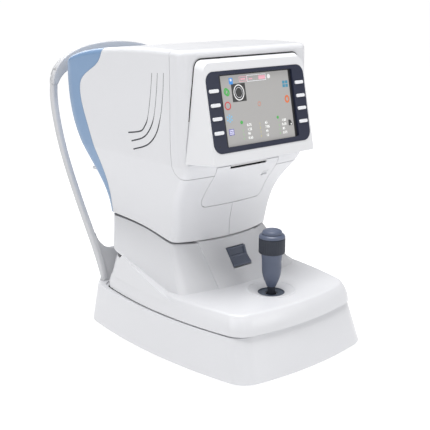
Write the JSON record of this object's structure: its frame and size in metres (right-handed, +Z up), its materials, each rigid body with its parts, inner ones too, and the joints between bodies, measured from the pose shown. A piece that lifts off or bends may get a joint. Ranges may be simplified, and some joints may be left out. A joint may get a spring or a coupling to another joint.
{
  "type": "autorefractor",
  "caption": "Table-top eye refraction instrument: joystick-moved head with touch-key screen and printer, headrest arch and chinrest on a flared base.",
  "frame": {"origin": "on the table, centre of the instrument's bounding box", "axes": "+X operator's right, +Y from operator to patient, +Z up"},
  "size_m": [0.3016, 0.4982, 0.4425],
  "materials": {
    "shell_white": "satin",
    "trim_blue": "satin",
    "bezel_dark": "gloss",
    "screen_face": "gloss",
    "key_white": "satin",
    "lever_slate": "satin",
    "joystick_blue": "satin",
    "joystick_dark": "matt",
    "chin_grey": "satin",
    "steel": "brushed",
    "aluminium": "machined",
    "rubber_black": "matt",
    "board_green": "matt",
    "paper_white": "matt",
    "black_plastic": "matt",
    "sleeve_dark": "satin",
    "pad_soft": "matt",
    "lens_glass": "coated"
  },
  "bodies": {
    "base": {"base_cover": "shell_white", "base_plate": "steel", "rubber_feet": "rubber_black", "power_supply": "board_green", "power_entry": "black_plastic", "fore_aft_rails": "steel", "rail_mounts": "aluminium", "headrest_post_left": "shell_white", "headrest_post_right": "shell_white", "headrest_crossmember": "shell_white", "headrest_bow": "shell_white", "forehead_pad": "pad_soft", "chin_column": "chin_grey"},
    "rocker": {"power_rocker": "black_plastic"},
    "carriage": {"carriage": "aluminium", "cross_rods": "steel"},
    "stage": {"stage_chassis": "aluminium", "stage_cover": "shell_white", "riser_cover": "shell_white", "neck_sleeve": "sleeve_dark", "lift_columns": "steel", "lift_motor": "black_plastic", "joystick_dish": "shell_white", "joystick_bracket": "joystick_dark"},
    "lift_screw": {"lift_screw": "steel"},
    "lever": {"lock_lever": "lever_slate"},
    "gimbal": {"joystick_gimbal": "joystick_dark"},
    "stick": {"joystick_shaft": "joystick_dark", "joystick_grip": "joystick_blue"},
    "ring": {"joystick_ring": "joystick_dark"},
    "button": {"joystick_button": "joystick_blue"},
    "head": {"head_chassis": "aluminium", "optical_bench": "aluminium", "objective_barrel": "black_plastic", "camera_unit": "black_plastic", "window_barrel": "black_plastic", "window_glass": "lens_glass", "display_housing": "shell_white", "display_bezel": "bezel_dark", "lcd_panel": "screen_face", "printer_frame": "black_plastic", "tear_bar": "steel", "head_shell_left": "shell_white", "head_shell_right": "shell_white", "front_cover": "shell_white", "rear_cover": "trim_blue"},
    "roll": {"paper_roll": "paper_white"},
    "platen": {"platen_roller": "rubber_black"},
    "door": {"printer_door": "shell_white"},
    "latch": {"door_latch": "lever_slate"},
    "chin_screw": {"chin_screw": "steel"},
    "chin": {"chinrest": "chin_grey"},
    "key_left_1_cap": {"key_left_1": "key_white"},
    "key_left_2_cap": {"key_left_2": "key_white"},
    "key_left_3_cap": {"key_left_3": "key_white"},
    "key_left_4_cap": {"key_left_4": "key_white"},
    "key_right_1_cap": {"key_right_1": "key_white"},
    "key_right_2_cap": {"key_right_2": "key_white"},
    "key_right_3_cap": {"key_right_3": "key_white"},
    "key_right_4_cap": {"key_right_4": "key_white"}
  },
  "joints": [
    {"name": "rocker_tilt", "type": "hinge", "parent": "base", "child": "rocker", "pos_m": [0.052, 0.119, 0.031], "axis": [1, 0, 0], "range_deg": [0, 12]},
    {"name": "fore_aft", "type": "slide", "parent": "base", "child": "carriage", "axis": [0, 1, 0], "range_m": [-0.035, 0.005]},
    {"name": "left_right", "type": "slide", "parent": "carriage", "child": "stage", "axis": [1, 0, 0], "range_m": [-0.043, 0.043]},
    {"name": "head_lift", "type": "slide", "parent": "stage", "child": "head", "axis": [0, 0, 1], "range_m": [0, 0.03]},
    {"name": "lift_screw_spin", "type": "hinge", "parent": "stage", "child": "lift_screw", "pos_m": [0, 0.062, 0.15], "axis": [0, 0, 1], "range_deg": [-5, 2710]},
    {"name": "lever_lift", "type": "hinge", "parent": "stage", "child": "lever", "pos_m": [0, -0.081, 0.14], "axis": [-1, 0, 0], "range_deg": [0, 20]},
    {"name": "stick_fore_aft", "type": "hinge", "parent": "stage", "child": "gimbal", "pos_m": [0, -0.16, 0.08], "axis": [1, 0, 0], "range_deg": [-10, 10]},
    {"name": "stick_left_right", "type": "hinge", "parent": "gimbal", "child": "stick", "pos_m": [0, -0.16, 0.08], "axis": [0, 1, 0], "range_deg": [-10, 10]},
    {"name": "ring_spin", "type": "hinge", "parent": "stick", "child": "ring", "pos_m": [0, -0.16, 0.157], "axis": [0, 0, 1], "range_deg": [-5, 545]},
    {"name": "button_press", "type": "slide", "parent": "stick", "child": "button", "axis": [0, 0, -1], "range_m": [0, 0.0015], "stiffness_N_per_m": 600, "springref_m": -0.001},
    {"name": "paper_roll_spin", "type": "hinge", "parent": "head", "child": "roll", "pos_m": [0, -0.054, 0.24], "axis": [1, 0, 0], "continuous": true},
    {"name": "platen_spin", "type": "hinge", "parent": "head", "child": "platen", "pos_m": [0, -0.086, 0.264], "axis": [1, 0, 0], "continuous": true},
    {"name": "door_open", "type": "hinge", "parent": "head", "child": "door", "pos_m": [0, -0.0752, 0.2098], "axis": [1, 0, 0], "range_deg": [0, 70]},
    {"name": "latch_slide", "type": "slide", "parent": "door", "child": "latch", "axis": [0, 0.6113, -0.7914], "range_m": [0, 0.0015], "stiffness_N_per_m": 300, "springref_m": -0.001},
    {"name": "chinrest_lift", "type": "slide", "parent": "base", "child": "chin", "axis": [0, 0, 1], "range_m": [0, 0.06]},
    {"name": "chin_screw_spin", "type": "hinge", "parent": "base", "child": "chin_screw", "pos_m": [0, 0.218, 0.15], "axis": [0, 0, 1], "range_deg": [-5, 5410]},
    {"name": "key_left_1_press", "type": "slide", "parent": "head", "child": "key_left_1_cap", "axis": [0, 0.9803, -0.1977], "range_m": [0, 0.0008], "stiffness_N_per_m": 500, "springref_m": -0.0006},
    {"name": "key_left_2_press", "type": "slide", "parent": "head", "child": "key_left_2_cap", "axis": [0, 0.9803, -0.1977], "range_m": [0, 0.0008], "stiffness_N_per_m": 500, "springref_m": -0.0006},
    {"name": "key_left_3_press", "type": "slide", "parent": "head", "child": "key_left_3_cap", "axis": [0, 0.9803, -0.1977], "range_m": [0, 0.0008], "stiffness_N_per_m": 500, "springref_m": -0.0006},
    {"name": "key_left_4_press", "type": "slide", "parent": "head", "child": "key_left_4_cap", "axis": [0, 0.9803, -0.1977], "range_m": [0, 0.0008], "stiffness_N_per_m": 500, "springref_m": -0.0006},
    {"name": "key_right_1_press", "type": "slide", "parent": "head", "child": "key_right_1_cap", "axis": [0, 0.9803, -0.1977], "range_m": [0, 0.0008], "stiffness_N_per_m": 500, "springref_m": -0.0006},
    {"name": "key_right_2_press", "type": "slide", "parent": "head", "child": "key_right_2_cap", "axis": [0, 0.9803, -0.1977], "range_m": [0, 0.0008], "stiffness_N_per_m": 500, "springref_m": -0.0006},
    {"name": "key_right_3_press", "type": "slide", "parent": "head", "child": "key_right_3_cap", "axis": [0, 0.9803, -0.1977], "range_m": [0, 0.0008], "stiffness_N_per_m": 500, "springref_m": -0.0006},
    {"name": "key_right_4_press", "type": "slide", "parent": "head", "child": "key_right_4_cap", "axis": [0, 0.9803, -0.1977], "range_m": [0, 0.0008], "stiffness_N_per_m": 500, "springref_m": -0.0006}
  ],
  "couplings": [
    {"joint": "lift_screw_spin", "follows": "head_lift", "rad_per_m": 1570.8},
    {"joint": "ring_spin", "follows": "head_lift", "rad_per_m": 314.16},
    {"joint": "chin_screw_spin", "follows": "chinrest_lift", "rad_per_m": 1570.8},
    {"joint": "platen_spin", "follows": "paper_roll_spin", "ratio": 4}
  ]
}
